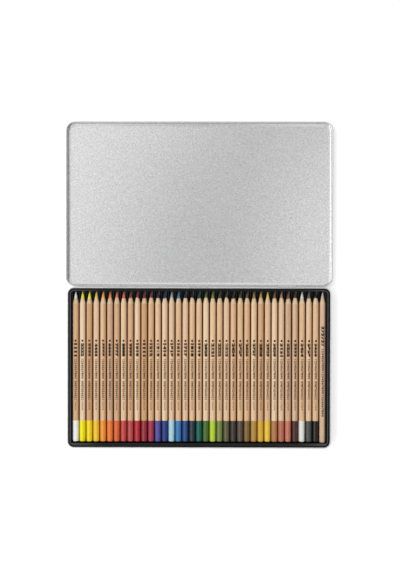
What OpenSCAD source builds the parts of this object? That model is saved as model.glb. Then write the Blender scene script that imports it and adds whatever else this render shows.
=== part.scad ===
// Flat hinged tin with a formed tray and a row of sharpened pencils.
// The lid is drawn swung fully open, lying flat behind the base.
// X runs along the row, Y along the pencils towards the hinge, Z up.
// The origin is the middle of the base's underside.

/* [Pencils] */
// Diameter of a pencil
pencil_d = 7.5; // [6.5:0.1:9]
// Length of a pencil from its closed end to its point
pencil_len = 175; // [120:1:190]
// Free width between two neighbouring pencils
pencil_gap = 0.5; // [0.4:0.1:2]
// Length of the sharpened cone
point_len = 14.2; // [10:0.1:22]
// Diameter of the coloured lead
lead_d = 3.9; // [2:0.1:4.5]
// Diameter of the blunted tip of the lead
tip_d = 0.7; // [0.3:0.1:1.2]
// Glue gap between the lead and the bore of its casing
glue_gap = 0.05; // [0.03:0.01:0.1]
// Wood and lacquer left over the lead at the closed end
seal_t = 0.6; // [0.3:0.1:2]
// Rounding of the closed end
end_round = 0.9; // [0.3:0.1:1.5]
// How much further the plain blender pencil reaches at its blunt end
blender_extra = 0.8; // [0:0.1:1]

/* [Tray] */
// Thickness of the formed sheet
tray_t = 0.5; // [0.3:0.1:0.8]
// Gap between the tray and the wall of the base
tray_clear = 0.2; // [0.1:0.05:0.5]
// Gap between a pencil and its groove
groove_clear = 0.2; // [0.1:0.05:0.3]
// Height of the underside of the grooves above the floor of the base
bed_lift = 3; // [1:0.1:6]
// Depth of the ridges between grooves below the middle of a pencil
ridge_drop = 1; // [0.6:0.1:1.5]
// Distance from the middle of an outer pencil to the side of the tray
side_margin = 7.9; // [7.5:0.1:15]
// Distance from the points to the rear of the tray
tip_margin = 3.6; // [3.5:0.1:12]
// Distance from the closed ends to the front of the tray
end_margin = 5.6; // [5.5:0.1:15]
// Width of the low lip around the tray
lip_w = 1.3; // [1:0.1:2]
// Width of the raised bead inside the lip
bead_w = 1.5; // [1.2:0.1:2]
// Height of the bead above the lip
bead_h = 1.2; // [0.6:0.1:2]
// Slope of each side of the bead, as a run
bead_slope = 0.3; // [0.1:0.05:0.4]
// Depth of the bead below the rim of the base
bead_drop = 0.8; // [0.3:0.1:1.5]
// Gap between the blender pencil and the front ledge
ledge_gap = 0.3; // [0.2:0.1:1]

/* [Tin] */
// Thickness of the tinplate
sheet_t = 0.3; // [0.2:0.01:0.4]
// Outside radius of the bend from floor to wall
bend_r = 1.5; // [1:0.1:2.5]
// Corner radius of the outside of the base's wall
base_corner_r = 7; // [6:0.1:12]
// Diameter of the rolled rim of the base
base_curl_d = 1.6; // [1.3:0.1:2]
// Height of the rim above the top of the pencils
rim_above = 2.5; // [2.2:0.1:6]
// Diameter of the rolled edge of the lid
lid_curl_d = 1.8; // [1.6:0.1:2.4]
// Gap between the rim of the base and the wall of the lid
lid_gap = 0.6; // [0.4:0.05:1]
// Gap between the rim of the base and the inside of the closed lid
lid_top_gap = 0.2; // [0.1:0.05:0.5]

/* [Hinge] */
// Diameter of the hinge wire
wire_d = 1.1; // [0.8:0.05:1.2]
// Gap around the wire in the lid's rolled edge and in the lugs
wire_gap = 0.05; // [0.02:0.01:0.1]
// Length of the lid's straight rear edge beyond each end of the wire
wire_inset = 1.5; // [0.5:0.5:10]
// Gap between each end of the wire and the end of its bore
wire_end_gap = 0.3; // [0.1:0.1:0.4]
// Width of a hinge lug
lug_w = 21; // [10:0.5:30]
// Distance of the outer lugs from the middle
lug_x = 102.5; // [60:0.5:110]
// Gap at each side of a lug in its slot
slot_gap = 0.6; // [0.3:0.1:1.5]
// Reach of a slot past the hinge axis
slot_reach = 2.2; // [1.8:0.1:3]
// Depth of the lug's strap below the top of its eye
lug_drop = 0.2; // [0.1:0.05:0.3]
// Height of the lug's foot on the wall of the base
foot_h = 4; // [2:0.1:5]

/* [Catches] */
// Diameter of a catch dimple
catch_d = 3; // [2:0.1:4]
// Diameter of the flat top of a catch dimple
catch_top_d = 1.2; // [0.6:0.1:1.8]
// Depth that a catch dimple stands in
catch_h = 0.4; // [0.2:0.05:0.45]
// Distance of the front catches from the middle
catch_x = 118.7; // [60:0.1:130]
// Distance of the side catches from the hinge axis
catch_from_hinge = 31; // [20:0.5:80]
// Distance of the catches below the middle of the lid's rolled edge
catch_drop = 3.25; // [2.7:0.05:3.8]

/* [Hidden] */
$fn = 64;
cut = 1; // how far a cutter runs past what it cuts
end_steps = 4; // facets on the rounded end of a pencil

// Names and lacquers, in order from the left. The last one is the plain blender.
pencils = [
    ["white", [0.93, 0.93, 0.90]],
    ["lemon", [0.93, 0.90, 0.10]],
    ["yellow", [0.93, 0.80, 0.05]],
    ["golden_yellow", [0.93, 0.75, 0.25]],
    ["amber", [0.92, 0.58, 0.16]],
    ["orange", [0.92, 0.47, 0.22]],
    ["vermilion", [0.84, 0.42, 0.25]],
    ["scarlet", [0.76, 0.27, 0.27]],
    ["rose_red", [0.70, 0.27, 0.29]],
    ["carmine", [0.66, 0.18, 0.22]],
    ["dark_red", [0.57, 0.18, 0.22]],
    ["wine", [0.57, 0.20, 0.28]],
    ["violet", [0.30, 0.28, 0.55]],
    ["dark_blue", [0.17, 0.25, 0.45]],
    ["light_blue", [0.55, 0.78, 0.88]],
    ["sky_blue", [0.22, 0.45, 0.68]],
    ["ultramarine", [0.15, 0.28, 0.52]],
    ["slate", [0.18, 0.22, 0.25]],
    ["teal", [0.10, 0.40, 0.36]],
    ["leaf_green", [0.26, 0.44, 0.18]],
    ["lime", [0.66, 0.80, 0.24]],
    ["moss", [0.44, 0.55, 0.30]],
    ["olive", [0.36, 0.36, 0.24]],
    ["sepia", [0.25, 0.21, 0.21]],
    ["umber", [0.32, 0.28, 0.26]],
    ["brown_ochre", [0.49, 0.38, 0.24]],
    ["ochre", [0.68, 0.53, 0.27]],
    ["light_ochre", [0.82, 0.66, 0.24]],
    ["yellow_ochre", [0.86, 0.71, 0.25]],
    ["copper", [0.69, 0.48, 0.32]],
    ["terracotta", [0.73, 0.43, 0.34]],
    ["rose_brown", [0.78, 0.46, 0.40]],
    ["red_sepia", [0.33, 0.20, 0.19]],
    ["silver_white", [0.85, 0.85, 0.82]],
    ["grey", [0.33, 0.34, 0.33]],
    ["black", [0.15, 0.15, 0.14]],
    ["blender", [0.80, 0.66, 0.49]],
];
wood = [0.82, 0.67, 0.48];
blender = len(pencils) - 1;

function two_digits(n) = n < 10 ? str("0", n) : str(n);
function pencil_name(i) = str("pencil_", two_digits(i + 1), "_", pencils[i][0]);

// Pencils
pencil_r = pencil_d / 2;
lead_r = lead_d / 2;
tip_r = tip_d / 2;
bore_r = lead_r + glue_gap;
pitch = pencil_d + pencil_gap;
row_w = blender * pitch;

// Tray
tray_w = row_w + 2 * side_margin;
tray_d = pencil_len + tip_margin + end_margin;
groove_r = pencil_r + groove_clear;
bed_z = sheet_t + bed_lift;
pencil_z = bed_z + tray_t + groove_r;
ridge_z = pencil_z - ridge_drop;
pencil_end_y = end_margin - tray_d / 2;
point_y = pencil_end_y + pencil_len;
ledge_y = pencil_end_y - blender_extra - ledge_gap;

// Base
rim_z = pencil_z + pencil_r + rim_above;
bead_z = rim_z - bead_drop;
lip_z = bead_z - bead_h;
tray_ring_w = lip_w + bead_w + bead_slope;
foot_in = bend_r - sheet_t - tray_clear;
base_w = tray_w + 2 * (tray_clear + sheet_t);
base_d = tray_d + 2 * (tray_clear + sheet_t);
base_out = base_curl_d - sheet_t;
rim_w = base_w + 2 * base_out;
rim_d = base_d + 2 * base_out;
tray_corner_r = base_corner_r - sheet_t - tray_clear;

// Lid
closed_h = rim_z + lid_top_gap + sheet_t;
lid_w = rim_w + 2 * (lid_gap + sheet_t);
lid_d = rim_d + 2 * (lid_gap + sheet_t);
lid_corner_r = base_corner_r + base_out + lid_gap + sheet_t;
lid_out = lid_curl_d - sheet_t;
lid_curl_r = lid_curl_d / 2;

// Hinge
hinge_y = lid_d / 2 + lid_out - lid_curl_r;
hinge_z = closed_h / 2;
lid_y = 2 * hinge_y;
wire_bore_d = wire_d + 2 * wire_gap;
wire_len = lid_w - 2 * lid_corner_r - 2 * wire_inset;
lug_places = [-lug_x, 0, lug_x];

// A flat section carried around a rectangle with round corners.
// In the section, x = 0 is the outside of the wall and y is the height.
module around(w, d, r) {
    for (side = [0 : 3]) {
        long = side % 2 == 0;
        away = (long ? w : d) / 2;
        run = (long ? d : w) - 2 * r;
        rotate([0, 0, 90 * side])
            translate([away, run / 2, 0])
                rotate([90, 0, 0])
                    linear_extrude(run)
                        children();
    }
    for (sx = [-1, 1], sy = [-1, 1]) {
        turn = sy > 0 ? (sx > 0 ? 0 : 90) : (sx > 0 ? 270 : 180);
        translate([sx * (w / 2 - r), sy * (d / 2 - r), 0])
            rotate([0, 0, turn])
                rotate_extrude(angle = 90)
                    translate([r, 0])
                        children();
    }
}

// A rectangle with round corners.
module rounded(w, d, r) {
    square([w, d - 2 * r], center = true);
    square([w - 2 * r, d], center = true);
    for (sx = [-1, 1], sy = [-1, 1])
        translate([sx * (w / 2 - r), sy * (d / 2 - r)])
            circle(r);
}

// The section of a pressed pan's side: bend, wall and rolled edge.
module pan_section(edge_z, curl_d) {
    intersection() {
        translate([-bend_r, 0])
            square(bend_r);
        translate([-bend_r, bend_r])
            difference() {
                circle(bend_r);
                circle(bend_r - sheet_t);
            }
    }
    translate([-sheet_t, bend_r])
        square([sheet_t, edge_z - bend_r]);
    translate([curl_d / 2 - sheet_t, edge_z])
        circle(d = curl_d);
}

// A pressed pan with its floor on z = 0. edge_z is the middle of its rolled edge.
module pan(w, d, r, edge_z, curl_d) {
    around(w, d, r)
        pan_section(edge_z, curl_d);
    linear_extrude(sheet_t)
        rounded(w - 2 * bend_r, d - 2 * bend_r, r - bend_r);
}

// One lug: an eye around the wire, a strap, and a foot on the wall of the base.
module hinge_lug() {
    strap_z = hinge_z + lid_curl_r - lug_drop - sheet_t;
    difference() {
        union() {
            translate([-lug_w / 2, hinge_y, hinge_z])
                rotate([0, 90, 0])
                    cylinder(d = lid_curl_d, h = lug_w);
            translate([-lug_w / 2, base_d / 2, strap_z])
                cube([lug_w, hinge_y - base_d / 2, sheet_t]);
            translate([-lug_w / 2, base_d / 2, strap_z + sheet_t - foot_h])
                cube([lug_w, sheet_t, foot_h]);
        }
        translate([-lug_w / 2 - cut, hinge_y, hinge_z])
            rotate([0, 90, 0])
                cylinder(d = wire_bore_d, h = lug_w + 2 * cut);
    }
}

module base_tin() {
    color("silver") {
        pan(base_w, base_d, base_corner_r, rim_z - base_curl_d / 2, base_curl_d);
        for (x = lug_places)
            translate([x, 0, 0])
                hinge_lug();
    }
}

// Places its children on the middle of each catch, with +X pointing into the lid.
module at_catches() {
    z = hinge_z - catch_drop;
    inside_w = lid_w / 2 - sheet_t;
    inside_d = lid_d / 2 - sheet_t;
    side_y = hinge_y + catch_from_hinge;
    for (s = [-1, 1]) {
        translate([s * catch_x, lid_y + inside_d, z])
            rotate([0, 0, -90])
                children();
        translate([s * inside_w, side_y, z])
            rotate([0, 0, s > 0 ? 180 : 0])
                children();
    }
}

// A blunt cone along X: catch_d wide at x = 0, narrowing to the plane x = top.
// It is drawn from x = foot with the same slope.
module catch_cone(foot, top) {
    slope = (catch_d - catch_top_d) / 2 / catch_h;
    translate([foot, 0, 0])
        rotate([0, 90, 0])
            cylinder(
                r1 = catch_d / 2 - slope * foot,
                r2 = catch_d / 2 - slope * top,
                h = top - foot
            );
}

module lid_tin() {
    slot_w = lug_w + 2 * slot_gap;
    wall_y = lid_y - lid_d / 2;
    color("gainsboro")
        difference() {
            union() {
                translate([0, lid_y, 0])
                    pan(lid_w, lid_d, lid_corner_r, hinge_z, lid_curl_d);
                at_catches()
                    catch_cone(-sheet_t / 2, catch_h);
            }
            for (x = lug_places)
                translate([x - slot_w / 2, wall_y - lid_out - cut, hinge_z - slot_reach])
                    cube([slot_w, lid_out + cut + 2 * sheet_t, slot_reach + lid_curl_d]);
            at_catches()
                translate([-sheet_t, 0, 0])
                    catch_cone(-sheet_t / 2, catch_h);
            translate([-wire_len / 2 - wire_end_gap, hinge_y, hinge_z])
                rotate([0, 90, 0])
                    cylinder(d = wire_bore_d, h = wire_len + 2 * wire_end_gap);
        }
}

module hinge_wire() {
    color("dimgray")
        translate([-wire_len / 2, hinge_y, hinge_z])
            rotate([0, 90, 0])
                cylinder(d = wire_d, h = wire_len);
}

// The section of the tray's edge: skirt, lip, bead and inner wall.
// The skirt turns in at its foot, to stand on the floor inside the bend of the base.
module tray_section() {
    bead_out = lip_w + bead_slope;
    bead_in = lip_w + bead_w;
    polygon([
        [-foot_in, sheet_t],
        [0, bend_r],
        [0, lip_z],
        [-lip_w, lip_z],
        [-bead_out, bead_z],
        [-bead_in, bead_z],
        [-tray_ring_w, bed_z],
        [-tray_ring_w + tray_t, bed_z],
        [-bead_in + tray_t, lip_z - tray_t],
        [-tray_t, lip_z - tray_t],
        [-tray_t, bend_r],
        [-foot_in - tray_t, sheet_t],
    ]);
}

// The grooved bed, as a section across the pencils.
module bed_section() {
    half = tray_w / 2 - tray_ring_w + tray_t / 2;
    difference() {
        union() {
            for (i = [0 : blender])
                translate([i * pitch - row_w / 2, pencil_z])
                    circle(groove_r + tray_t);
            translate([-half, ridge_z - tray_t])
                square([2 * half, tray_t]);
        }
        for (i = [0 : blender])
            translate([i * pitch - row_w / 2, pencil_z])
                circle(groove_r);
        translate([-half - cut, ridge_z])
            square([2 * (half + cut), 2 * pencil_d]);
    }
}

// The wide ledge along the closed ends of the pencils, as a section along Y.
module ledge_section() {
    back = -tray_d / 2 + tray_ring_w - tray_t / 2;
    polygon([
        [back, bead_z],
        [ledge_y - bead_slope, bead_z],
        [ledge_y, bed_z],
        [ledge_y - tray_t, bed_z],
        [ledge_y - bead_slope - tray_t, bead_z - tray_t],
        [back, bead_z - tray_t],
    ]);
}

module pencil_tray() {
    bed_front = ledge_y - tray_t / 2;
    bed_back = tray_d / 2 - tray_ring_w + tray_t / 2;
    ledge_w = tray_w - 2 * tray_ring_w + tray_t;
    color([0.12, 0.12, 0.13]) {
        around(tray_w, tray_d, tray_corner_r)
            tray_section();
        translate([0, bed_back, 0])
            rotate([90, 0, 0])
                linear_extrude(bed_back - bed_front)
                    bed_section();
        translate([-ledge_w / 2, 0, 0])
            rotate([90, 0, 90])
                linear_extrude(ledge_w)
                    ledge_section();
    }
}

// Height above the closed end at which the sharpened cone has a radius.
function cone_z(radius, length) =
    length - point_len * (radius - tip_r) / (pencil_r - tip_r);

// Wooden casing, standing on its closed end. seal is the wood over the lead there.
module casing(length, seal) {
    rounded = [
        for (k = [0 : end_steps])
            let (a = 90 * k / end_steps)
                [pencil_r - end_round + end_round * sin(a), end_round - end_round * cos(a)]
    ];
    closed = seal > 0 ? [[0, seal], [0, 0]] : [];
    rotate_extrude()
        polygon(concat(
            [[bore_r, seal]],
            closed,
            rounded,
            [[pencil_r, length - point_len], [bore_r, cone_z(bore_r, length)]]
        ));
}

module lead(length, seal) {
    start = seal > 0 ? seal + glue_gap : 0;
    rotate_extrude()
        polygon([
            [0, start],
            [lead_r, start],
            [lead_r, cone_z(lead_r, length)],
            [tip_r, length],
            [0, length],
        ]);
}

module pencil(i) {
    plain = i == blender;
    extra = plain ? blender_extra : 0;
    seal = plain ? 0 : seal_t;
    translate([i * pitch - row_w / 2, pencil_end_y - extra, pencil_z])
        rotate([-90, 0, 0]) {
            color(wood)
                casing(pencil_len + extra, seal);
            color(pencils[i][1])
                lead(pencil_len + extra, seal);
        }
}

base_tin();
lid_tin();
hinge_wire();
pencil_tray();
for (i = [0 : blender])
    pencil(i);
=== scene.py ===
from math import asin, atan2, cos, degrees, pi, radians, sin, sqrt

import bpy
from mathutils import Matrix, Vector


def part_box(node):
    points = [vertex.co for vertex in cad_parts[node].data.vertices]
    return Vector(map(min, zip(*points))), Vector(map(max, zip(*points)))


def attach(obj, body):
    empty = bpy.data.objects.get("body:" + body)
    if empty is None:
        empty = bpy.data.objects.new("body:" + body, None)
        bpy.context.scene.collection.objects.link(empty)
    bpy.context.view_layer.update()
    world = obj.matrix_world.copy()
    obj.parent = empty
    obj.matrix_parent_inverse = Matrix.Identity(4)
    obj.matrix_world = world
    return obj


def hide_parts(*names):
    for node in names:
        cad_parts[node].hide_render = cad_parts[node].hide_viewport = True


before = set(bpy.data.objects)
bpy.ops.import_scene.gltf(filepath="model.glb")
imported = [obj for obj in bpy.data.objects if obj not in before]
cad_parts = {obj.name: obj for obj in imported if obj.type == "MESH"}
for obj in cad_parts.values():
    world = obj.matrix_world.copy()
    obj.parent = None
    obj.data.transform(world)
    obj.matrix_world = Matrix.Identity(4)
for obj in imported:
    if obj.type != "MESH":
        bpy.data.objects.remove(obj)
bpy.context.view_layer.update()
mm = 0.001
near = 0.01 * mm  # how closely a vertex's place is matched


# Selecting and drawing, as done by hand

def nothingSelected():
    if bpy.context.object and bpy.context.object.mode == "EDIT":
        bpy.ops.object.mode_set(mode="OBJECT")
    bpy.ops.object.select_all(action="DESELECT")


def onlySelected(piece):
    nothingSelected()
    piece.select_set(True)
    bpy.context.view_layer.objects.active = piece


def selectAll(piece):
    onlySelected(piece)
    bpy.ops.object.mode_set(mode="EDIT")
    bpy.ops.mesh.select_all(action="SELECT")


def selectWhere(piece, isWanted):  # leaves edit mode on, with the vertices that pass selected
    onlySelected(piece)
    mesh = piece.data
    for vertex in mesh.vertices:
        vertex.select = isWanted(vertex.co)
    for part in [*mesh.edges, *mesh.polygons]:
        part.select = all(mesh.vertices[i].select for i in part.vertices)
    bpy.ops.object.mode_set(mode="EDIT")


def startAt(name, x, y, z):  # a new piece that is one vertex, selected in edit mode
    nothingSelected()
    bpy.ops.mesh.primitive_plane_add(size=mm)
    piece = bpy.context.object
    piece.name = piece.data.name = name
    bpy.ops.object.mode_set(mode="EDIT")
    bpy.ops.mesh.select_all(action="SELECT")
    bpy.ops.mesh.merge(type="CENTER")
    bpy.ops.transform.translate(value=(x, y, z))
    return piece


def lineBy(x, y, z):
    bpy.ops.mesh.extrude_vertices_move(TRANSFORM_OT_translate={"value": (x, y, z)})


def turnBy(angle, steps, centre, axis):  # degrees by the right-hand rule, the other way from spin's own
    bpy.ops.mesh.spin(steps=steps, angle=-radians(angle), center=centre, axis=axis)


def sweepBy(x, y, z):
    bpy.ops.mesh.extrude_region_move(TRANSFORM_OT_translate={"value": (x, y, z)})


def tidyFaces(piece):  # merges doubles and turns every face outwards
    selectAll(piece)
    bpy.ops.mesh.remove_doubles(threshold=0.002 * mm)
    bpy.ops.mesh.normals_make_consistent(inside=False)
    bpy.ops.object.mode_set(mode="OBJECT")


def applyModifier(piece, kind, **settings):
    onlySelected(piece)
    modifier = piece.modifiers.new(kind.title(), kind)
    for name, value in settings.items():
        setattr(modifier, name, value)
    bpy.ops.object.modifier_apply(modifier=modifier.name)


def thickened(piece, sheet, offset=0):  # an offset of 0 keeps the drawn surface in the sheet's middle
    applyModifier(piece, "SOLIDIFY", thickness=sheet, offset=offset, use_even_offset=True)


def smoothed(piece, angle=35):
    onlySelected(piece)
    bpy.ops.object.shade_smooth_by_angle(angle=radians(angle))
    return piece


def movedCopy(piece, name, offset):
    twin = piece.copy()
    twin.data = piece.data.copy()
    twin.name = twin.data.name = name
    twin.data.transform(Matrix.Translation(offset))
    bpy.context.collection.objects.link(twin)
    return twin


def joined(pieces):
    onlySelected(pieces[0])
    for piece in pieces[1:]:
        piece.select_set(True)
    bpy.ops.object.join()
    return pieces[0]


def filleted(corners, steps=5):  # corners are (x, z, radius); the round ones become arcs
    points = []
    for i, (x, z, radius) in enumerate(corners):
        here = Vector((x, z))
        if not radius:
            points.append(here)
            continue
        before = (Vector(corners[i - 1][:2]) - here).normalized()
        after = (Vector(corners[i + 1][:2]) - here).normalized()
        half = before.angle(after) / 2
        centre = here + (before + after).normalized() * radius / sin(half)
        first = here + before * radius * cos(half) / sin(half) - centre
        last = here + after * radius * cos(half) / sin(half) - centre
        sweep = first.angle_signed(last)
        for k in range(steps + 1):
            turned = first.copy()
            turned.rotate(Matrix.Rotation(-sweep * k / steps, 2))
            points.append(centre + turned)
    return points


def drawAcross(name, points, y=0.0):  # an open line through (x, z) points
    piece = startAt(name, points[0].x, y, points[0].y)
    for a, b in zip(points, points[1:]):
        lineBy(b.x - a.x, 0, b.y - a.y)
    return piece


def sweepAround(halfWidth, halfDepth, radius, xStops, yStops, cornerSteps):
    # The line just drawn stands at y = 0 on the right. It goes back, round the corner and to x = 0,
    # which is a quarter of the way round; mirrored() makes the rest.
    bpy.ops.mesh.select_all(action="SELECT")
    y = 0.0
    for stop in [*yStops, halfDepth - radius]:
        sweepBy(0, stop - y, 0)
        y = stop
    turnBy(90, cornerSteps, (halfWidth - radius, halfDepth - radius, 0), (0, 0, 1))
    x = halfWidth - radius
    for stop in [*reversed(xStops), 0.0]:
        sweepBy(stop - x, 0, 0)
        x = stop
    bpy.ops.object.mode_set(mode="OBJECT")


def mirrored(piece):
    applyModifier(piece, "MIRROR", use_axis=(True, True, False), merge_threshold=0.005 * mm)
    tidyFaces(piece)


# Materials

def fromScreen(*screenColour):  # red, green and blue from 0 to 255, as the shader counts them
    linear = [c / 255 / 12.92 if c < 11 else ((c / 255 + 0.055) / 1.055) ** 2.4 for c in screenColour]
    return (*linear, 1)


def addNode(tree, kind, inputs=None, **settings):
    node = tree.nodes.new("ShaderNode" + kind)
    for name, value in settings.items():
        setattr(node, name, value)
    for name, value in (inputs or {}).items():
        if isinstance(value, bpy.types.NodeSocket):
            tree.links.new(value, node.inputs[name])
        else:
            node.inputs[name].default_value = value
    return node


def newMaterial(name, **constants):
    material = bpy.data.materials.new(name)
    material.use_nodes = True
    tree = material.node_tree
    shader = tree.nodes["Principled BSDF"]
    for socket, value in constants.items():
        shader.inputs[socket.replace("_", " ")].default_value = value
    place = addNode(tree, "TexCoord").outputs["Object"]
    return material, tree, shader, place


def noise(tree, place, scale, detail=3.0, stretch=(1, 1, 1), roughness=0.5):
    spread = addNode(tree, "Mapping", {"Vector": place, "Scale": stretch}).outputs["Vector"]
    values = {"Vector": spread, "Scale": scale, "Detail": detail, "Roughness": roughness}
    return addNode(tree, "TexNoise", values).outputs["Fac"]


def between(tree, factor, low, high, start=0.3, end=0.7):  # low at the start, high at the end
    values = {"Value": factor, "From Min": start, "From Max": end, "To Min": low, "To Max": high}
    return addNode(tree, "MapRange", values).outputs["Result"]


def maths(tree, operation, *values):
    return addNode(tree, "Math", dict(enumerate(values)), operation=operation).outputs[0]


def mixed(tree, factor, first, second, blend="MIX"):
    node = addNode(tree, "Mix", data_type="RGBA", blend_type=blend)
    for socket, value in zip((node.inputs[0], node.inputs[6], node.inputs[7]), (factor, first, second)):
        if isinstance(value, bpy.types.NodeSocket):
            tree.links.new(value, socket)
        else:
            socket.default_value = value
    return node.outputs[2]


def blended(tree, factor, first, second):  # from one screen colour to another
    return mixed(tree, between(tree, factor, 0, 1), fromScreen(*first), fromScreen(*second))


def shaded(tree, colour, shade):  # the colour times a plain (red, green, blue)
    return mixed(tree, 1.0, colour, (*shade, 1), "MULTIPLY")


def plug(tree, shader, **outputs):
    for socket, output in outputs.items():
        tree.links.new(output, shader.inputs[socket.replace("_", " ")])


def bumped(tree, height, strength, distance):
    values = {"Height": height, "Strength": strength, "Distance": distance}
    return addNode(tree, "Bump", values).outputs["Normal"]


# In every look, "bump" is the strength and the height of the bumps.
tinplateLook = {
    "light": (249, 249, 249),
    "dark": (192, 192, 193),
    "grainScale": 1700,
    "fineScale": 2600,
    "smudgeScale": 14,
    "rough": (0.2, 0.22),
    "rubbed": 0.5,         # roughness of the rolled rim
    "rubbedFade": 0.3 * mm,
    "bump": (0.3, 0.03 * mm),
}


def makeTinplate(name, rimZ):  # the rolled rim, above rimZ, is rubbed dull
    look = tinplateLook
    material, tree, shader, place = newMaterial(name, Metallic=1.0)
    grain = noise(tree, place, look["grainScale"], 2.0)
    fine = noise(tree, place, look["fineScale"], 2.0)
    smudge = noise(tree, place, look["smudgeScale"], 3.0)
    colour = blended(tree, grain, look["dark"], look["light"])
    height = addNode(tree, "SeparateXYZ", {"Vector": place}).outputs["Z"]
    isRim = between(tree, height, 0, 1, rimZ - look["rubbedFade"], rimZ)
    roughness = between(tree, isRim, between(tree, smudge, *look["rough"]), look["rubbed"], 0, 1)
    plug(tree, shader, Base_Color=colour, Roughness=roughness,
         Normal=bumped(tree, mixed(tree, 0.5, grain, fine), *look["bump"]))
    return material


wireLook = {
    "light": (165, 165, 168),
    "dark": (110, 110, 114),
    "drawScale": 1500,
    "drawStretch": 0.05,
    "rough": (0.28, 0.45),
    "bump": (0.3, 0.02 * mm),
}


def makeWireSteel():
    look = wireLook
    material, tree, shader, place = newMaterial("drawnWire", Metallic=1.0)
    draw = noise(tree, place, look["drawScale"], 3.0, (look["drawStretch"], 1, 1))
    colour = blended(tree, draw, look["dark"], look["light"])
    plug(tree, shader, Base_Color=colour, Roughness=between(tree, draw, *look["rough"]),
         Normal=bumped(tree, draw, *look["bump"]))
    return material


trayPlasticLook = {
    "dark": (9, 9, 10),
    "light": (19, 18, 20),
    "wearAndSheen": (72, 72, 75),                # a painted highlight: the crown of the bead a lighter grey, at the left and right
    "sheenFrom": (115 * mm, 145 * mm),    # how far out the painted highlight starts and is full
    "sheenUnder": (0.35 * mm, 0.1 * mm),  # and how far under the crown
    "pebbleScale": 1400,
    "cloudScale": 60,
    "rough": (0.17, 0.22),
    "bump": (0.12, 0.03 * mm),
}


def makeTrayPlastic(crownZ):
    look = trayPlasticLook
    material, tree, shader, place = newMaterial("blackSheetPlastic", Specular_IOR_Level=0.3)
    pebble = noise(tree, place, look["pebbleScale"], 2.0)
    cloud = noise(tree, place, look["cloudScale"], 3.0)
    black = blended(tree, cloud, look["dark"], look["light"])
    parts = addNode(tree, "SeparateXYZ", {"Vector": place}).outputs
    # Painted highlight: the crown of the bead, at the left and right ends, is a lighter grey
    isPaintedSide = between(tree, maths(tree, "ABSOLUTE", parts["X"]), 0, 1, *look["sheenFrom"])
    isPaintedHighlight = between(tree, parts["Z"], 0, isPaintedSide, *(crownZ - under for under in look["sheenUnder"]))
    plug(tree, shader, Base_Color=mixed(tree, isPaintedHighlight, black, fromScreen(*look["wearAndSheen"])),
         Roughness=between(tree, cloud, *look["rough"]), Normal=bumped(tree, pebble, *look["bump"]))
    return material


cedarLook = {
    "kinds": {  # each with the tones of its two slats, which are glued together along the pencil
        "honey": ((234, 199, 161), (228, 186, 144)),
        "pale": ((244, 219, 187), (241, 207, 168)),
        "rose": ((227, 197, 167), (219, 182, 150)),
        "tan": ((223, 185, 148), (218, 174, 131)),
        "straw": ((238, 208, 176), (234, 198, 158)),
    },
    "seam": 0.15 * mm,      # half the width over which one slat changes to the other
    "lean": 1.1,            # how far the seam may lean from upright
    "cut": (236, 211, 175),
    "cutShare": 0.6,
    # Shades by which the grain and the pores are browner, and by which the sides are darker as painted
    # shade for the gaps between pencils, in linear light
    "grainShade": (0.80, 0.68, 0.56),
    "grainShare": 0.45,
    "poreShade": (0.70, 0.55, 0.42),
    "poreShare": 0.35,
    "paintedSideShade": (0.62, 0.4, 0.2),
    "paintedShadeFade": (0.5 * mm, 2.1 * mm),  # heights over the axis where the painted shade on the side is full and gone
    "cutFade": 0.3 * mm,
    "grainScale": 520,
    "grainStretch": 0.035,
    "grainSpread": (0.35, 0.75),  # levels of the noise between which a grain comes in
    "poreScale": 1500,
    "poreStretch": 0.02,
    "poreSpread": (0.55, 0.75),
    "rough": (0.42, 0.55),
    "bump": (0.2, 0.04 * mm),
}


def makeCedar(kind, pitch, axisZ, shoulderY):
    look = cedarLook
    material, tree, shader, place = newMaterial("cedar_" + kind, Specular_IOR_Level=0.08)
    parts = addNode(tree, "SeparateXYZ", {"Vector": place}).outputs
    number = maths(tree, "ROUND", maths(tree, "DIVIDE", parts["X"], pitch))
    chance = addNode(tree, "TexWhiteNoise", {"W": number}, noise_dimensions="1D").outputs["Value"]
    across = maths(tree, "WRAP", parts["X"], pitch / 2, -pitch / 2)
    above = maths(tree, "SUBTRACT", parts["Z"], axisZ)
    lean = between(tree, chance, -look["lean"], look["lean"], 0, 1)
    seam = maths(tree, "MULTIPLY_ADD", above, lean, across)
    isSecond = between(tree, seam, 0, 1, -look["seam"], look["seam"])
    wood = mixed(tree, isSecond, *(fromScreen(*tone) for tone in look["kinds"][kind]))
    grain = noise(tree, place, look["grainScale"], 4.0, (1, look["grainStretch"], 1), 0.6)
    isGrain = between(tree, grain, 0, look["grainShare"], *look["grainSpread"])
    wood = mixed(tree, isGrain, wood, shaded(tree, wood, look["grainShade"]))
    pores = noise(tree, place, look["poreScale"], 2.0, (1, look["poreStretch"], 1))
    isPore = between(tree, pores, 0, look["poreShare"], *look["poreSpread"])
    wood = mixed(tree, isPore, wood, shaded(tree, wood, look["poreShade"]))
    # Painted shade: the wood is darker low on the barrel's sides, where the gaps between pencils lie in
    # shadow
    isPaintedSide = between(tree, above, 1, 0, *look["paintedShadeFade"])
    wood = mixed(tree, isPaintedSide, wood, shaded(tree, wood, look["paintedSideShade"]))
    isCut = between(tree, parts["Y"], 0, 1, shoulderY, shoulderY + look["cutFade"])
    wood = mixed(tree, isCut, wood, mixed(tree, look["cutShare"], wood, fromScreen(*look["cut"])))
    plug(tree, shader, Base_Color=wood, Roughness=between(tree, grain, *look["rough"]),
         Normal=bumped(tree, mixed(tree, 0.5, grain, pores), *look["bump"]))
    return material


lacquerLook = {
    "thin": (0.93, 0.93, 0.93),  # shade of the places where it lies thinner
    "flowScale": 160,
    "flowStretch": 0.25,
    "rough": (0.24, 0.34),
    "bump": (0.08, 0.05 * mm),
}


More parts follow.
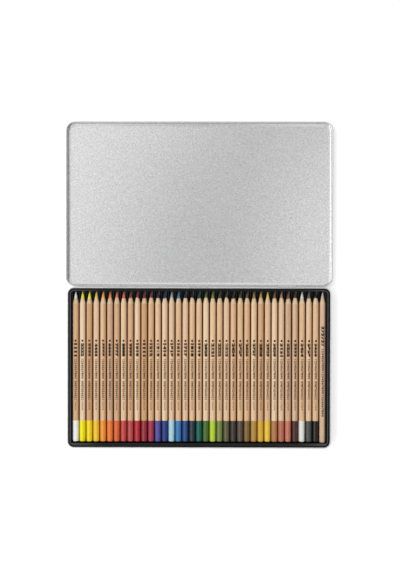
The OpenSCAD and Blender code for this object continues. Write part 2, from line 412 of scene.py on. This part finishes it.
def makeLacquer(name, screenColour):
    look = lacquerLook
    material, tree, shader, place = newMaterial("lacquer_" + name, Specular_IOR_Level=0.4)
    colour = fromScreen(*screenColour)
    flow = noise(tree, place, look["flowScale"], 2.0, (1, look["flowStretch"], 1))
    colour = mixed(tree, between(tree, flow, 0, 1), colour, shaded(tree, colour, look["thin"]))
    plug(tree, shader, Base_Color=colour, Roughness=between(tree, flow, *look["rough"]),
         Normal=bumped(tree, flow, *look["bump"]))
    return material


leadLook = {
    "dull": 0.18,     # how far a lead's colour is drawn from the lacquer's towards grey
    "lift": 6,        # and how much is added to it
    "brightest": 250,
    "wearAndSheen": (0.86, 0.85, 0.85),
    "gritScale": 2200,
    "rough": (0.48, 0.62),
    "bump": (0.4, 0.04 * mm),
}


def makeLead(name, screenColour, shade):
    look = leadLook
    material, tree, shader, place = newMaterial("lead_" + name, Specular_IOR_Level=0.3)
    grey = sum(screenColour) / 3
    duller = [(c + (grey - c) * look["dull"]) * shade + look["lift"] for c in screenColour]
    colour = fromScreen(*(min(look["brightest"], c) for c in duller))
    grit = noise(tree, place, look["gritScale"], 3.0)
    colour = mixed(tree, between(tree, grit, 0, 1), shaded(tree, colour, look["wearAndSheen"]), colour)
    plug(tree, shader, Base_Color=colour, Roughness=between(tree, grit, *look["rough"]),
         Normal=bumped(tree, grit, *look["bump"]))
    return material


inkLook = {
    "full": (24, 16, 11),
    "wearAndSheen": (62, 44, 31),
    "wearScale": 1300,
    "wearSpread": (0.45, 0.8),
    "rough": (0.45, 0.6),
}


def makeInk():
    look = inkLook
    material, tree, shader, place = newMaterial("stampedInk", Specular_IOR_Level=0.3)
    wear = noise(tree, place, look["wearScale"], 3.0)
    isWorn = between(tree, wear, 0, 1, *look["wearSpread"])
    colour = mixed(tree, isWorn, fromScreen(*look["full"]), fromScreen(*look["wearAndSheen"]))
    plug(tree, shader, Base_Color=colour, Roughness=between(tree, wear, *look["rough"]))
    return material


# Tin

panLook = {
    "sheet": 0.3 * mm,
    "bendSteps": 8,
    "edgeTurn": 295,  # how far the edge is rolled, in degrees
    "edgeSteps": 22,
    "cornerSteps": 14,
}


def pressedPan(name, low, high, look, wallStops, xStops, yStops):
    sheet, edgeDiameter, cornerRadius, bend = (
        panLook["sheet"], look["edgeDiameter"], look["cornerRadius"], look["bend"])
    halfWidth = (high.x - low.x) / 2 - edgeDiameter + sheet
    halfDepth = -low.y - edgeDiameter + sheet
    edgeZ = high.z - edgeDiameter / 2
    floorEnd = halfWidth - cornerRadius
    piece = startAt(name, floorEnd, 0, sheet / 2)
    toWall, z = cornerRadius, 0.0
    for nextToWall, rise in bend["ramp"]:
        lineBy(toWall - nextToWall, 0, rise - z)
        toWall, z = nextToWall, rise
    left = bend["height"] - sheet / 2 - z
    share = bend["slope"] * toWall / left
    start = asin(share / (1 - share))  # where an upright ellipse has the ramp's slope
    width, height = toWall / (1 - sin(start)), left / cos(start)
    steps = panLook["bendSteps"]
    stops = [start + (pi / 2 - start) * k / steps for k in range(steps + 1)]
    for a, b in zip(stops, stops[1:]):
        lineBy(width * (sin(b) - sin(a)), 0, height * (cos(a) - cos(b)))
    z = bend["height"]
    for stop in [*wallStops, edgeZ]:
        lineBy(0, 0, stop - z)
        z = stop
    edgeX = halfWidth - sheet + edgeDiameter / 2
    turnBy(panLook["edgeTurn"], panLook["edgeSteps"], (edgeX, 0, edgeZ), (0, 1, 0))
    sweepAround(halfWidth, halfDepth, cornerRadius, xStops, yStops, panLook["cornerSteps"])
    selectWhere(piece, lambda co: abs(co.x - floorEnd) < near and co.z < sheet
                and co.y < halfDepth - cornerRadius + near)
    x = floorEnd
    for stop in [*reversed(xStops), 0.0]:
        sweepBy(stop - x, 0, 0)
        x = stop
    mirrored(piece)
    return piece, halfWidth, halfDepth


lidLook = {
    "edgeDiameter": 1.8 * mm,
    # The bend between floor and wall: a shallow ramp of (distance from the wall, height) points, the
    # ramp's slope, and the height where the wall goes on straight
    "bend": {"ramp": [(3.5 * mm, 0), (3.05 * mm, 0), (2.85 * mm, 0.021 * mm), (1.1 * mm, 0.393 * mm)],
             "slope": 0.2126, "height": 1.5 * mm},
    "cornerRadius": 9.2 * mm,
    "slotFloor": 5.05 * mm,  # height of the lug slots' lower edge
    "slotWidth": 22.2 * mm,
    "lugX": 102.5 * mm,
    "catchX": 118.7 * mm,
    "catchFromHinge": 31 * mm,
    "catchZ": 4.0 * mm,
    "catchRadius": 2.5 * mm,
    "catchDepth": 0.85 * mm,
    "catchBluntness": 0.7,   # lower is blunter
    "catchPatch": 2.6 * mm,  # half the width of the wall that is divided finely round a catch
    "catchCuts": 11,
    # More places where the long faces are divided
    "wallStop": 6.2 * mm,
    "xStop": 40 * mm,
    "yStops": (20 * mm, 42 * mm),
}


def makeLid():
    look = lidLook
    low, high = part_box("lid_tin")
    middleY = (low.y + high.y) / 2
    shift = Vector((0, middleY, 0))
    hingeY = low.y + look["edgeDiameter"] / 2 - middleY
    catchY = hingeY + look["catchFromHinge"]
    catchX, catchZ, patch = look["catchX"], look["catchZ"], look["catchPatch"]
    lugX, slotHalf = look["lugX"], look["slotWidth"] / 2
    xStops = sorted([slotHalf, look["xStop"], lugX - slotHalf, lugX + slotHalf,
                     catchX - patch, catchX + patch])
    yStops = sorted([*look["yStops"], -catchY - patch, -catchY + patch])
    wallStops = [look["slotFloor"], look["wallStop"]]
    piece, halfWidth, halfDepth = pressedPan(
        "lidShell", low - shift, high - shift, look, wallStops, xStops, yStops)

    rear = 1.5 * mm - halfDepth  # behind this stand only the rear wall and its rolled edge
    for x in (-lugX, 0, lugX):
        selectWhere(piece, lambda co: abs(co.x - x) < slotHalf + near and co.y < rear
                    and co.z > look["slotFloor"] - near)
        bpy.ops.mesh.delete(type="FACE")

    front = [(Vector((side * catchX, halfDepth, catchZ)), Vector((0, -1, 0))) for side in (-1, 1)]
    ends = [(Vector((side * halfWidth, catchY, catchZ)), Vector((-side, 0, 0))) for side in (-1, 1)]
    for centre, inward in front + ends:
        selectWhere(piece, lambda co: abs((co - centre).dot(inward)) < 5 * near
                    and (co - centre).length < 1.6 * patch and co.z > look["bend"]["height"] - near)
        bpy.ops.mesh.subdivide(number_cuts=look["catchCuts"])
        bpy.ops.object.mode_set(mode="OBJECT")
        for vertex in piece.data.vertices:
            away = (vertex.co - centre).length / look["catchRadius"]
            if away < 1:
                share = (0.5 + 0.5 * cos(pi * away)) ** look["catchBluntness"]
                vertex.co += inward * look["catchDepth"] * share
    selectAll(piece)
    bpy.ops.transform.translate(value=shift)
    bpy.ops.object.mode_set(mode="OBJECT")
    tidyFaces(piece)
    thickened(piece, panLook["sheet"])
    return smoothed(piece)


baseLook = {
    "edgeDiameter": 1.6 * mm,
    "bend": {"ramp": [(1.5 * mm, 0)], "slope": 0, "height": 1.5 * mm},
    "cornerRadius": 7 * mm,
    # Where the long faces are divided
    "wallStops": [5 * mm, 9 * mm],
    "xStops": [30 * mm, 70 * mm, 110 * mm],
    "yStops": [25 * mm, 55 * mm],
    "lugWidth": 21 * mm,
    "lugFoot": 3.95 * mm,    # height of the lower end of a lug's foot
    "strapZ": 7.8 * mm,      # height of the middle of the strap's thickness
    "strapBend": 0.5 * mm,
    "eyeRadius": 0.75 * mm,  # to the middle of the rolled sheet
    "eyeTurn": 300,
}


def makeLug(name, backY):
    look = baseLook
    low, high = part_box("hinge_wire")
    hinge = (low + high) / 2
    startX = -lidLook["lugX"] - look["lugWidth"] / 2
    footY = backY + panLook["sheet"] / 2
    bend = look["strapBend"]
    rise = look["strapZ"] - hinge.z
    reach = sqrt(look["eyeRadius"] ** 2 - rise ** 2)
    piece = startAt(name, startX, footY, look["lugFoot"])
    lineBy(0, 0, look["strapZ"] - bend - look["lugFoot"])
    turnBy(-90, 5, (0, footY + bend, look["strapZ"] - bend), (1, 0, 0))
    lineBy(0, hinge.y - reach - footY - bend, 0)
    turnBy(-look["eyeTurn"], 20, (0, hinge.y, hinge.z), (1, 0, 0))
    bpy.ops.mesh.select_all(action="SELECT")
    sweepBy(look["lugWidth"], 0, 0)
    tidyFaces(piece)
    thickened(piece, panLook["sheet"])
    return piece


def makeBase():
    look = baseLook
    low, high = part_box("base_tin")
    piece, _, halfDepth = pressedPan(
        "baseShell", low, high, look, look["wallStops"], look["xStops"], look["yStops"])
    thickened(piece, panLook["sheet"])
    lug = makeLug("hingeLug", halfDepth)
    lugs = [movedCopy(lug, "hingeLug", (step * lidLook["lugX"], 0, 0)) for step in (1, 2)]
    return smoothed(joined([piece, lug, *lugs]))


# Tray

trayLook = {
    "sheet": 0.5 * mm,
    "cornerRadius": 6.5 * mm,
    "cornerSteps": 12,
    # The ring round the pencils, from its foot to the slope inside its bead
    "footIn": 1.0 * mm,
    "footZ": 1.5 * mm,
    "footRound": 0.3 * mm,
    "lipZ": 12.0 * mm,
    "lipWidth": 1.3 * mm,
    "lipRound": 0.25 * mm,
    "beadTo": 2.8 * mm,
    "slope": 0.3 * mm,
    "round": 0.56 * mm,     # fillet of the other formed edges
    "bedZ": 3.3 * mm,
    "grooveRadius": 3.95 * mm,
    "grooveSteps": 14,
    "ridgeRadius": 0.56 * mm,
    "ridgeSteps": 4,
    "ledgeGap": 0.3 * mm,
    "ledgeUnder": 0.04 * mm,  # how far the ledge's top lies under the bead's
}


def makeTrayRing(low, high):
    look = trayLook
    lip, bead, fillet = -look["lipWidth"], -look["beadTo"], look["round"]
    corners = [
        (-look["footIn"], low.z, 0), (0, look["footZ"], look["footRound"]), (0, look["lipZ"], fillet),
        (lip, look["lipZ"], look["lipRound"]), (lip - look["slope"], high.z, fillet),
        (bead, high.z, fillet), (bead - look["slope"], look["bedZ"], 0)]
    points = [p + Vector((high.x, 0)) for p in filleted(corners)]
    piece = drawAcross("pencilTray", points)
    sweepAround(high.x, high.y, look["cornerRadius"], [], [], look["cornerSteps"])
    mirrored(piece)
    thickened(piece, look["sheet"], -1)
    return piece


def bedReach(outer):  # how far the bed and the ledge reach, to the middle of the bead's inner sheet
    return outer - trayLook["beadTo"] - trayLook["slope"] + trayLook["sheet"] / 2


def thickenedDown(piece):
    selectAll(piece)
    if max(piece.data.polygons, key=lambda face: face.center.z).normal.z < 0:
        bpy.ops.mesh.flip_normals()
    bpy.ops.object.mode_set(mode="OBJECT")
    thickened(piece, trayLook["sheet"], -1)


def makeTrayBed(high, axis, pitch, count, front):
    look = trayLook
    groove, ridge = look["grooveRadius"], look["ridgeRadius"]
    drop = sqrt((groove + ridge) ** 2 - (pitch / 2) ** 2)
    lean = degrees(asin(drop / (groove + ridge)))
    ridgeZ = axis.z - drop
    left, right = axis.x - pitch / 2, axis.x + pitch / 2
    piece = startAt("trayBed", left, front, ridgeZ + ridge)
    turnBy(90 - lean, look["ridgeSteps"], (left, 0, ridgeZ), (0, 1, 0))
    turnBy(2 * lean - 180, look["grooveSteps"], (axis.x, 0, axis.z), (0, 1, 0))
    turnBy(90 - lean, look["ridgeSteps"], (right, 0, ridgeZ), (0, 1, 0))
    bpy.ops.mesh.select_all(action="SELECT")
    sweepBy(0, bedReach(high.y) - front, 0)
    bpy.ops.object.mode_set(mode="OBJECT")
    applyModifier(piece, "ARRAY", count=count, use_relative_offset=False, use_constant_offset=True,
                  constant_offset_displace=(pitch, 0, 0), use_merge_vertices=True,
                  merge_threshold=0.005 * mm)
    for side in (-1, 1):
        end = max(side * v.co.x for v in piece.data.vertices)
        selectWhere(piece, lambda co: abs(side * co.x - end) < near)
        sweepBy(side * (bedReach(high.x) - end), 0, 0)
        bpy.ops.object.mode_set(mode="OBJECT")
    tidyFaces(piece)
    thickenedDown(piece)
    return piece


def makeTrayLedge(low, high, front):
    look = trayLook
    edge = bedReach(high.x)
    outer = low.y + look["beadTo"]
    top = high.z - look["ledgeUnder"]
    corners = [(front, look["bedZ"], 0), (front - look["slope"], top, look["round"]), (outer, top, 0)]
    points = filleted(corners)
    piece = startAt("trayLedge", -edge, points[0].x, points[0].y)
    for a, b in zip(points, points[1:]):
        lineBy(0, b.x - a.x, b.y - a.y)
    bpy.ops.mesh.select_all(action="SELECT")
    sweepBy(2 * edge, 0, 0)
    tidyFaces(piece)
    thickenedDown(piece)
    return piece


def makeTray(axis, pitch, count, front):
    low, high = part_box("pencil_tray")
    ring = makeTrayRing(low, high)
    for part in (makeTrayBed(high, axis, pitch, count, front), makeTrayLedge(low, high, front)):
        applyModifier(ring, "BOOLEAN", operation="UNION", solver="EXACT", object=part)
        bpy.data.objects.remove(part, do_unlink=True)
    return smoothed(ring, 40)


# Pencils

pencilLook = {
    "barrel": 3.42 * mm,      # radius of the bare wood
    "dipped": 3.53 * mm,      # radius over the lacquer
    "pointLength": 14.2 * mm,
    "shoulder": 0.7 * mm,     # length of the rounded shoulder
    "lead": 1.95 * mm,        # radii of the lead, its bore and its blunted tip
    "bore": 2.0 * mm,
    "tip": 0.3 * mm,
    "tipShape": [(1, 1), (0.7, 0.35), (0, 0)],  # (radius, distance from the end), in the tip's radius
    "boreLip": 0.6 * mm,      # length over which the wood opens from the lead to its bore
    "endRound": 1.0 * mm,
    "endSteps": 5,
    "seal": 0.6 * mm,         # wood and lacquer over the lead's far end
    "dipLength": 24.5 * mm,
    # The lacquer's thick edge: (distance from its end, share of its thickness)
    "dipEdge": [(1.2 * mm, 1), (0.5 * mm, 1.4), (0.12 * mm, 1), (0, 0.1)],
    "waverTurn": 2.4,         # how far the lead's wander turns from pencil to pencil, in radians
    "sides": 48,
}

# For each pencil: screen colour, kind of cedar, how far its lead wanders in the cut, in mm,
# and how bright the cut lead is next to the lacquer
pencils = {
    "white": ((252, 252, 250), "honey", 0.5, 1.15),
    "lemon": ((252, 239, 4), "pale", 0.4, 1.1),
    "yellow": ((252, 223, 18), "tan", 0.7, 1.25),
    "golden_yellow": ((252, 206, 57), "straw", 0.3, 1.04),
    "amber": ((245, 158, 53), "honey", 0.3, 1.11),
    "orange": ((243, 128, 57), "rose", 0.5, 1.07),
    "vermilion": ((222, 109, 54), "tan", 0.4, 1.08),
    "scarlet": ((206, 72, 69), "pale", 0.6, 1.21),
    "rose_red": ((192, 78, 78), "tan", 0.7, 0.7),
    "carmine": ((193, 43, 56), "pale", 0.5, 0.83),
    "dark_red": ((157, 43, 57), "tan", 0.4, 0.85),
    "wine": ((170, 55, 83), "honey", 0.5, 0.81),
    "violet": ((88, 83, 162), "straw", 0.3, 0.43),
    "dark_blue": ((39, 62, 133), "pale", 0.5, 0.72),
    "light_blue": ((175, 221, 238), "straw", 0.6, 0.78),
    "sky_blue": ((63, 129, 187), "honey", 0.4, 0.98),
    "ultramarine": ((37, 77, 140), "straw", 0.3, 0.53),
    "slate": ((42, 55, 65), "honey", 0.6, 0.55),
    "teal": ((12, 101, 83), "straw", 0.5, 0.79),
    "leaf_green": ((76, 110, 48), "pale", 0.4, 1.05),
    "lime": ((187, 217, 59), "pale", 0.5, 0.65),
    "moss": ((121, 140, 72), "straw", 0.4, 0.51),
    "olive": ((98, 94, 61), "straw", 0.6, 0.59),
    "sepia": ((67, 55, 52), "honey", 0.5, 0.51),
    "umber": ((93, 80, 68), "straw", 0.4, 0.76),
    "brown_ochre": ((137, 104, 57), "honey", 0.5, 0.76),
    "ochre": ((186, 145, 68), "pale", 0.4, 0.87),
    "light_ochre": ((227, 179, 58), "tan", 0.5, 0.87),
    "yellow_ochre": ((243, 202, 65), "straw", 0.6, 1.04),
    "copper": ((184, 126, 79), "pale", 0.4, 0.66),
    "terracotta": ((195, 117, 89), "straw", 0.5, 0.95),
    "rose_brown": ((205, 123, 102), "rose", 0.6, 0.64),
    "red_sepia": ((80, 42, 36), "rose", 0.4, 0.94),
    "silver_white": ((237, 236, 228), "straw", 0.5, 0.98),
    "grey": ((80, 82, 78), "straw", 0.4, 1.25),
    "black": ((29, 26, 24), "straw", 0.3, 0.72),
    "blender": ((238, 228, 205), "rose", 0.4, 0.87),
}


def lathed(name, outline, axis, sides):  # the outline's (radius, y) points end on the axis, or meet
    piece = startAt(name, axis.x + outline[0][0], outline[0][1], axis.z)
    for (r0, y0), (r1, y1) in zip(outline, outline[1:]):
        lineBy(r1 - r0, y1 - y0, 0)
    bpy.ops.mesh.select_all(action="SELECT")
    turnBy(360, sides, (axis.x, 0, axis.z), (0, 1, 0))
    tidyFaces(piece)
    return piece


def roundEnd(radius, y):  # from the face at y out to the side
    fillet, steps = pencilLook["endRound"], pencilLook["endSteps"]
    return [(radius - fillet + fillet * sin(a), y + fillet - fillet * cos(a))
            for a in (pi / 2 * k / steps for k in range(steps + 1))]


def coneSlope():
    return (pencilLook["barrel"] - pencilLook["tip"]) / pencilLook["pointLength"]


def coneY(radius, point):  # where the sharpened cone has a radius
    return point - (radius - pencilLook["tip"]) / coneSlope()


def makeCasing(name, axis, back, point, isSealed):
    look = pencilLook
    barrel, bore = look["barrel"], look["bore"]
    ringY = coneY(look["lead"], point)
    shoulderY = point - look["pointLength"]
    half = look["shoulder"] / 2
    drop = half * coneSlope()
    shoulder = [(barrel, shoulderY - half), (barrel - drop / 4, shoulderY),
                (barrel - drop, shoulderY + half)]
    if isSealed:
        hollow = [(bore, back + look["seal"]), (0, back + look["seal"])]
    else:
        hollow = [(bore, back)]
    outline = [(hollow[-1][0], back), *roundEnd(barrel, back), *shoulder,
               (look["lead"], ringY), (bore, ringY - look["boreLip"]), *hollow]
    return lathed(name, outline, axis, look["sides"])


def makeLeadRod(name, axis, back, point, isSealed):
    look = pencilLook
    lead, tip = look["lead"], look["tip"]
    gap = look["bore"] - lead
    start = back + (look["seal"] + gap if isSealed else 0)
    cone = [(radius, coneY(radius, point)) for radius in (lead, 0.6 * lead)]
    bluntTip = [(radius * tip, point - along * tip) for radius, along in look["tipShape"]]
    return lathed(name, [(0, start), (lead, start), *cone, *bluntTip], axis, look["sides"])


def makeDip(name, axis, back):
    look = pencilLook
    dipped, barrel, front = look["dipped"], look["barrel"], back + look["dipLength"]
    film = dipped - barrel
    inner, innerBack = barrel - film, back + 2 * film  # sunk a little into the wood
    edge = [(barrel + share * film, front - along) for along, share in look["dipEdge"]]
    outline = [(0, back), *roundEnd(dipped, back), *edge,
               (inner, front), *reversed(roundEnd(inner, innerBack)), (0, innerBack)]
    return lathed(name, outline, axis, look["sides"])


def waverRing(piece, axis, ringY, amount, phase):  # moves the edge between wood and lead along the cone
    slope = coneSlope()
    for vertex in piece.data.vertices:
        x, z = vertex.co.x - axis.x, vertex.co.z - axis.z
        radius = sqrt(x * x + z * z)
        if abs(vertex.co.y - ringY) < near and abs(radius - pencilLook["lead"]) < near:
            angle = atan2(z, x)
            waves = 0.5 * cos(2 * angle + phase) + 0.5 * cos(5 * angle + 2 * phase)
            along = amount * (cos(angle - phase) + waves)
            vertex.co.y += along
            vertex.co.x -= x / radius * along * slope
            vertex.co.z -= z / radius * along * slope


# Plain digits down the barrel. A row has its digits, where it starts from the point, how long and how
# wide it is, and how much heavier its strokes are than the plain letter. The pencil's own number is
# repeated, so its row has a count of digits first. The dot has a start and a radius.
printLook = {
    "ink": 0.02 * mm,
    "spacing": 1.12,
    "over": 5 * mm,         # height over the axis from which the marks are laid on the barrel
    "cutEvery": 0.55 * mm,  # how finely they are cut to bend round it
    "dot": (57.2 * mm, 1.3 * mm),
    "dotSides": 10,
    "number": (4, 60 * mm, 15.8 * mm, 3.5 * mm, 0.095),
    "scales": [
        ("1234567890", 78.5 * mm, 23.2 * mm, 2.7 * mm, 0.04),
        ("0987654321", 104 * mm, 22 * mm, 2.7 * mm, 0.04),
        ("12345678", 127.5 * mm, 10.5 * mm, 1.6 * mm, 0.02),
    ],
    "blenderNumber": (6, 40 * mm, 24 * mm, 3.9 * mm, 0.075),
    "blenderScales": [("123456789012345678901234567890", 66.5 * mm, 79 * mm, 2.7 * mm, 0.04)],
}


def makeDot(name, axis, point):
    look = printLook
    start, radius = look["dot"]
    nothingSelected()
    bpy.ops.mesh.primitive_circle_add(vertices=look["dotSides"], radius=radius, fill_type="NGON")
    piece = bpy.context.object
    piece.name = piece.data.name = name
    selectAll(piece)
    bpy.ops.transform.translate(value=(axis.x, point - start, axis.z + look["over"]))
    bpy.ops.object.mode_set(mode="OBJECT")
    return piece


def makeRow(name, row, axis, point):
    look = printLook
    digits, start, length, width, heavier = row
    nothingSelected()
    bpy.ops.object.text_add(rotation=(0, 0, -pi / 2))
    piece = bpy.context.object
    piece.data.body = digits
    piece.data.offset = heavier
    piece.data.space_character = look["spacing"]
    piece.data.resolution_u = 2
    bpy.ops.object.convert(target="MESH")
    bpy.ops.object.transform_apply(location=True, rotation=True, scale=True)
    piece.name = piece.data.name = name
    places = [vertex.co.copy() for vertex in piece.data.vertices]
    low = Vector([min(place[k] for place in places) for k in range(3)])
    high = Vector([max(place[k] for place in places) for k in range(3)])
    middle = (low + high) / 2
    selectAll(piece)
    bpy.ops.transform.translate(value=-middle)
    bpy.ops.transform.resize(value=(width / (high.x - low.x), length / (high.y - low.y), 1))
    bpy.ops.transform.translate(value=(axis.x, point - start - length / 2, axis.z + look["over"]))
    bpy.ops.object.mode_set(mode="OBJECT")
    return piece


def laidOn(piece, casing, axis):  # wraps flat marks round the barrel and gives them their thickness
    look = printLook
    for k in range(-2, 3):
        selectAll(piece)
        bpy.ops.mesh.bisect(plane_co=(axis.x + k * look["cutEvery"], 0, 0), plane_no=(1, 0, 0))
    bpy.ops.object.mode_set(mode="OBJECT")
    applyModifier(piece, "SHRINKWRAP", target=casing, wrap_method="PROJECT", use_project_z=True,
                  use_negative_direction=True, use_positive_direction=False, offset=look["ink"] / 2)
    tidyFaces(piece)
    selectAll(piece)
    if piece.data.polygons[0].normal.z < 0:
        bpy.ops.mesh.flip_normals()
    bpy.ops.object.mode_set(mode="OBJECT")
    applyModifier(piece, "SOLIDIFY", thickness=look["ink"], offset=1)
    return piece


def finished(piece, material, body):
    piece.data.materials.clear()
    piece.data.materials.append(material)
    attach(piece, body)
    return piece


def makePencils():
    nodes = sorted(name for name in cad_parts
                   if name.startswith("pencil_") and name != "pencil_tray")
    boxes = [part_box(name) for name in nodes]
    axes = [(low + high) / 2 for low, high in boxes]
    first, pitch = axes[0], axes[1].x - axes[0].x
    back, point = boxes[0][0].y, boxes[0][1].y
    ringY = coneY(pencilLook["lead"], point)
    casing = makeCasing("casing", first, back + 0.1 * mm, point, True)
    lead = makeLeadRod("lead", first, back, point, True)
    dip = makeDip("dip", first, back)
    look = printLook
    rows = [makeRow("row", row, first, point) for row in look["scales"]]
    sharedMarks = laidOn(joined([makeDot("dot", first, point), *rows]), casing, first)
    rows = [makeRow("row", row, first, point) for row in look["blenderScales"]]
    blenderMarks = laidOn(joined(rows), casing, first)
    print("pencils: first one modelled")

    cedars = {kind: makeCedar(kind, pitch, first.z, point - pencilLook["pointLength"])
              for kind in cedarLook["kinds"]}
    ink = makeInk()
    for i, node in enumerate(nodes):
        number, name = node.split("_", 2)[1:]
        screenColour, kind, wander, shade = pencils[name]
        shift = axes[i] - first
        shift.y = shift.z = 0
        axis = first + shift
        body = node + "_body"
        isBlender = name == "blender"
        if isBlender:
            start = boxes[i][0].y
            wood = makeCasing("casing_" + number, axis, start, point, False)
            core = makeLeadRod("lead_" + number, axis, start, point, False)
        else:
            wood = movedCopy(casing, "casing_" + number, shift)
            core = movedCopy(lead, "lead_" + number, shift)
        for piece in (wood, core):
            waverRing(piece, axis, ringY, wander * mm, pencilLook["waverTurn"] * i)
        count, *measures = look["blenderNumber" if isBlender else "number"]
        digits = (str(int(number)) * count)[:count]
        marks = laidOn(makeRow("print_" + number, (digits, *measures), first, point), casing, first)
        rows = movedCopy(blenderMarks if isBlender else sharedMarks, "rows", (0, 0, 0))
        marks = joined([marks, rows])
        marks.data.transform(Matrix.Translation(shift))

        finished(smoothed(wood), cedars[kind], body)
        finished(smoothed(marks), ink, body)
        finished(smoothed(core), makeLead(name, screenColour, shade), body)
        if not isBlender:
            coat = movedCopy(dip, "dip_" + number, shift)
            finished(smoothed(coat), makeLacquer(name, screenColour), body)
        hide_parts(node)
    for piece in (casing, lead, dip, sharedMarks, blenderMarks):
        bpy.data.objects.remove(piece, do_unlink=True)
    print("pencils: all in the tray")
    return first, pitch, len(nodes), boxes[-1][0].y


# Putting it together

firstAxis, pencilPitch, pencilCount, lastEnd = makePencils()
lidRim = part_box("lid_tin")[1].z - lidLook["edgeDiameter"]
lidShell = finished(makeLid(), makeTinplate("lidTinplate", lidRim), "lid")
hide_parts("lid_tin")
print("lid: pressed")
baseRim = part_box("base_tin")[1].z - baseLook["edgeDiameter"]
baseShell = finished(makeBase(), makeTinplate("baseTinplate", baseRim), "base")
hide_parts("base_tin")
print("base: pressed, with its lugs")
tray = makeTray(firstAxis, pencilPitch, pencilCount, lastEnd - trayLook["ledgeGap"])
finished(tray, makeTrayPlastic(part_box("pencil_tray")[1].z), "base")
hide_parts("pencil_tray")
print("tray: formed")
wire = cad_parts["hinge_wire"]
wire.data.materials.clear()
wire.data.materials.append(makeWireSteel())
print("wire: drawn")


# Room

roomLook = {
    "floorSize": 4.0,
    "floorPlace": (0, 0.1, -0.05 * mm),
    "floorColours": ((0.86, 0.86, 0.86, 1), (0.88, 0.88, 0.88, 1)),
    "floorScale": 300,
    "floorGlow": 0.4,
    # How bright the soft boxes overhead are from left (-1) to right (1), how much more at front and
    # back, how bright it is low over the floor all the way round, and the heights between which the
    # one fades into the other
    "skyAcross": [(-1, 0.35), (-0.7, 0.5), (-0.45, 0.75), (-0.3, 0.95), (-0.15, 1.03), (0.02, 0.35),
                  (0.15, 1.36), (0.18, 1.36), (0.235, 0.14), (0.6, 0.14), (0.85, 0.7), (1, 0.7)],
    "skyEnds": 0.18,
    "skyLow": 0.58,
    "skyFade": (0.3, 0.6),
    # How far back the levels start to move right, and by how much for each unit further back
    "skewFrom": 0.08,
    "skew": 0.9,
    "lamp": {"place": (-1.5, 0.2, 1.95), "aim": (0, 0.1, 0), "size": (3.2, 1.2), "power": 27.5},
}


def makeFloor():
    look = roomLook
    nothingSelected()
    bpy.ops.mesh.primitive_plane_add(size=look["floorSize"], location=look["floorPlace"])
    floor = bpy.context.object
    floor.name = "floor"
    material, tree, shader, place = newMaterial("paleFloor", Roughness=0.9, Specular_IOR_Level=0.1)
    speckle = noise(tree, place, look["floorScale"], 2.0)
    plug(tree, shader, Base_Color=mixed(tree, between(tree, speckle, 0, 1), *look["floorColours"]))
    path = addNode(tree, "LightPath").outputs
    glow = addNode(tree, "Emission", {"Color": (1, 1, 1, 1), "Strength": look["floorGlow"]})
    lift = addNode(tree, "MixShader", {0: path["Is Camera Ray"], 2: glow.outputs[0]})
    both = addNode(tree, "AddShader", {0: shader.outputs[0], 1: lift.outputs[0]})
    tree.links.new(both.outputs[0], tree.nodes["Material Output"].inputs["Surface"])
    floor.data.materials.append(material)


def makeSky():
    look = roomLook
    world = bpy.data.worlds.new("softRoom")
    world.use_nodes = True
    tree = world.node_tree
    background = tree.nodes["Background"]
    seen = addNode(tree, "LightPath").outputs["Is Camera Ray"]
    direction = addNode(tree, "TexCoord").outputs["Object"]
    towards = addNode(tree, "SeparateXYZ", {"Vector": direction}).outputs
    further = maths(tree, "MAXIMUM", maths(tree, "SUBTRACT", towards["Y"], look["skewFrom"]), 0)
    skewed = maths(tree, "MULTIPLY_ADD", further, -look["skew"], towards["X"])
    across = addNode(tree, "ValToRGB", {"Fac": between(tree, skewed, 0, 1, -1, 1)})
    stops = look["skyAcross"]
    while len(across.color_ramp.elements) < len(stops):
        across.color_ramp.elements.new(0.5)
    for element, (x, level) in zip(across.color_ramp.elements, stops):
        element.position = (x + 1) / 2
        element.color = (level, level, level, 1)
    ends = maths(tree, "MULTIPLY", towards["Y"], towards["Y"])
    sky = maths(tree, "MULTIPLY_ADD", ends, look["skyEnds"], across.outputs["Color"])
    sky = between(tree, towards["Z"], look["skyLow"], sky, *look["skyFade"])
    tree.links.new(maths(tree, "MAXIMUM", sky, seen), background.inputs["Strength"])
    background.inputs["Color"].default_value = (1, 1, 1, 1)
    bpy.context.scene.world = world


def makeLight(name, place, aim, size, power):
    light = bpy.data.lights.new(name, "AREA")
    light.shape = "RECTANGLE"
    light.energy = power
    light.size, light.size_y = size
    lamp = bpy.data.objects.new(name, light)
    lamp.location = place
    lamp.rotation_euler = (Vector(aim) - Vector(place)).to_track_quat("-Z", "Y").to_euler()
    bpy.context.collection.objects.link(lamp)


cameraLook = {
    "aim": (0.92 * mm, 96.34 * mm, 8 * mm),
    "distance": 1.1,
    "tiltBack": 0.68, "tiltSide": -0.16, "roll": 0.11,  # degrees away from straight down
    "focal": 59.52,
}


def makeCamera():
    look = cameraLook
    down = Vector((sin(radians(look["tiltSide"])), -sin(radians(look["tiltBack"])), -1)).normalized()
    camera = bpy.data.objects.new("camera", bpy.data.cameras.new("camera"))
    camera.data.lens = look["focal"]
    right = down.cross(Vector((0, 1, 0))).normalized()
    up = right.cross(down)
    turn = Matrix.Rotation(radians(look["roll"]), 4, "Z")
    facing = Matrix((right, up, -down)).transposed().to_4x4() @ turn
    camera.matrix_world = Matrix.Translation(Vector(look["aim"]) - down * look["distance"]) @ facing
    bpy.context.collection.objects.link(camera)
    bpy.context.scene.camera = camera


makeFloor()
makeSky()
makeLight("lamp", **roomLook["lamp"])
makeCamera()
bpy.context.scene.view_settings.view_transform = "Standard"
print("room: lit")
